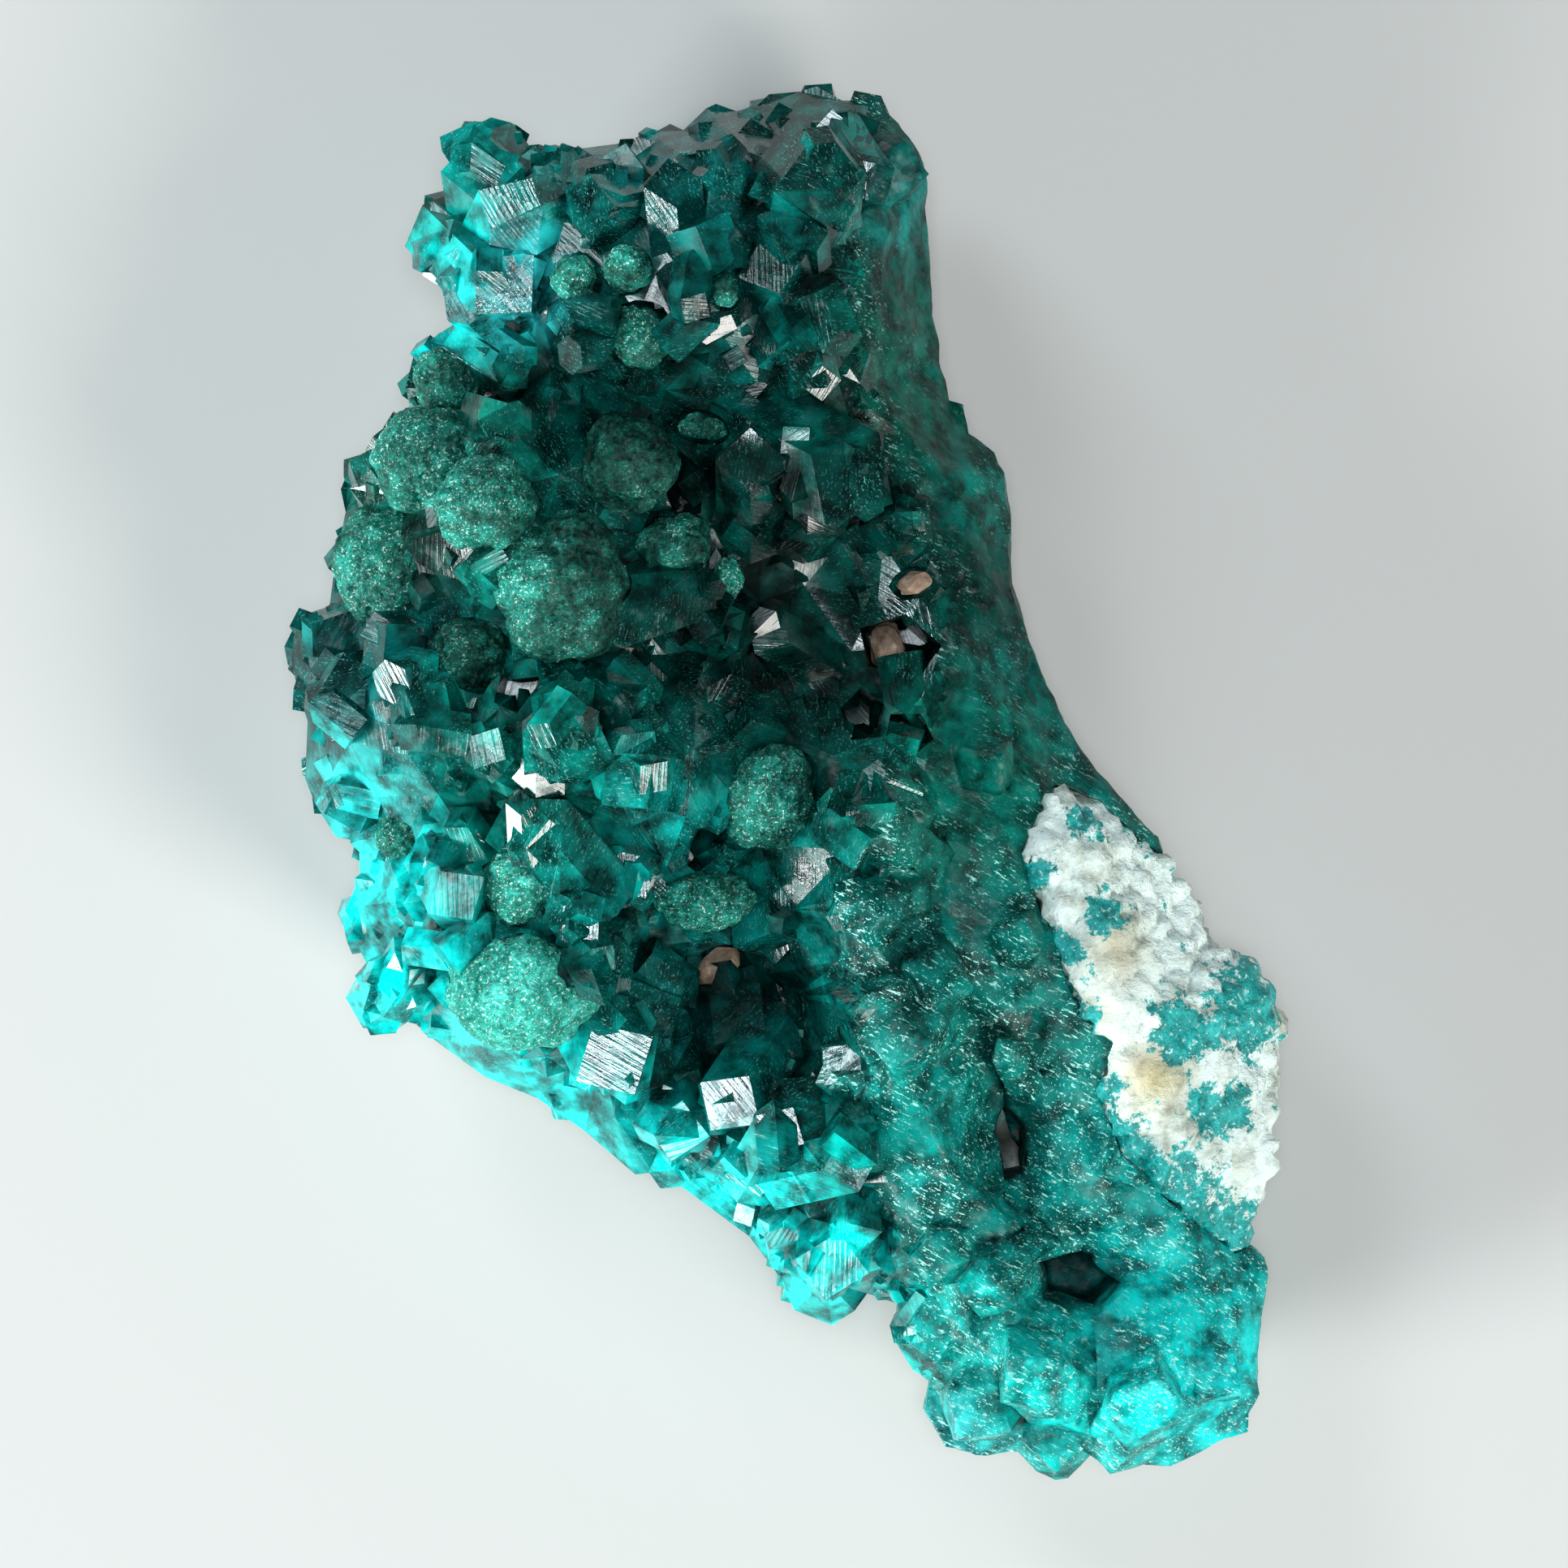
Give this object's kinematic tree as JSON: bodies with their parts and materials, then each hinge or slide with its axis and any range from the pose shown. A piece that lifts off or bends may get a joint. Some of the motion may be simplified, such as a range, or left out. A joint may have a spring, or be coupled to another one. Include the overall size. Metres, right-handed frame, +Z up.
{
  "type": "mineral specimen",
  "caption": "Emerald-green dioptase crystals intergrown as a thick crust on pale rock, with velvety green malachite balls set among them; lies on its flat back.",
  "frame": {"origin": "middle of the outer box's bottom, in the plane the specimen rests on", "axes": "+Z up, out of the crystal crust; +Y along the specimen, towards the end with the large upright crystals; +X across it, towards the flank where the pale rock shows"},
  "size_m": [0.0392, 0.0554, 0.018],
  "materials": {
    "dioptase": "vitreous, translucent emerald green",
    "malachite": "velvety, fine fibrous sparkle",
    "matrix": "rough, chalky white with tan and teal stains",
    "calcite": "dull tan"
  },
  "bodies": {
    "root": {"dioptase": "dioptase", "matrix": "matrix", "malachite_twin_left": "malachite", "malachite_twin_right": "malachite", "malachite_neck": "malachite", "malachite_bead_upper": "malachite", "malachite_left_shoulder": "malachite", "malachite_left_crest": "malachite", "malachite_left_flank": "malachite", "malachite_speckled": "malachite", "malachite_great_ball": "malachite", "malachite_dark_ball": "malachite", "malachite_round_cap": "malachite", "malachite_bead_centre": "malachite", "malachite_bead_neck": "malachite", "malachite_shadow_ball": "malachite", "malachite_velvet_patch": "malachite", "malachite_tan_tuft": "malachite", "malachite_lower_ball": "malachite", "malachite_bright_ball": "malachite", "malachite_left_tuft": "malachite", "calcite_stub": "calcite", "calcite_crumb": "calcite", "calcite_wedge": "calcite", "calcite_patch": "calcite"}
  },
  "joints": []
}
